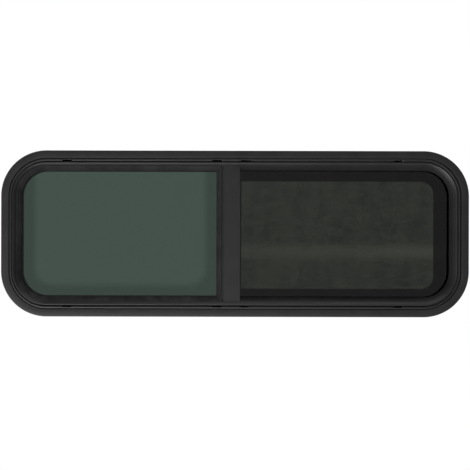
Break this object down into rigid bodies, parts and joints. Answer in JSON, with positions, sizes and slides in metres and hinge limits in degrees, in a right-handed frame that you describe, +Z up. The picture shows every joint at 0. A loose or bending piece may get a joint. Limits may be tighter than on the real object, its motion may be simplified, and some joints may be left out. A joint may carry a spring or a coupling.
{
  "type": "caravan window",
  "caption": "Round-cornered aluminium caravan window with a fixed tinted pane, a sliding tinted pane, an insect screen and an inner clamp ring.",
  "frame": {"origin": "rear face of the lower flange strip, the face that seats on the wall's outside, halfway along the window", "axes": "+X right and +Z up as seen from outside, +Y into the vehicle, so the outside is toward -Y"},
  "size_m": [0.946, 0.043, 0.336],
  "materials": {
    "black_frame": "satin",
    "black_screen_frame": "satin",
    "black_ring": "satin",
    "tinted_glass": "glossy",
    "black_rubber": "matte",
    "black_plastic": "matte",
    "pile": "matte",
    "screen_cloth": "matte",
    "steel": "satin"
  },
  "bodies": {
    "root": {"outer_frame": "black_frame", "clamp_ring": "black_ring", "fixed_glass": "tinted_glass", "fixed_glass_bead": "black_rubber", "fixed_glass_tape": "black_rubber", "setting_blocks": "black_rubber", "mullion_post": "black_frame", "mullion_cover": "black_frame", "mullion_seal": "pile", "top_glass_run": "black_rubber", "bottom_glass_run": "black_rubber", "jamb_glass_run": "black_rubber", "travel_stops": "black_rubber", "sliding_glass": "tinted_glass", "meeting_rail": "black_frame", "rail_guides": "black_plastic", "latch_body": "black_plastic", "latch_tongue": "steel", "latch_button": "black_plastic", "screen_frame": "black_screen_frame", "screen_corner_keys": "black_plastic", "screen_mesh": "screen_cloth", "screen_spline": "black_rubber", "screen_seal": "pile", "screen_clips": "steel", "screen_pulls": "black_plastic"}
  },
  "joints": []
}
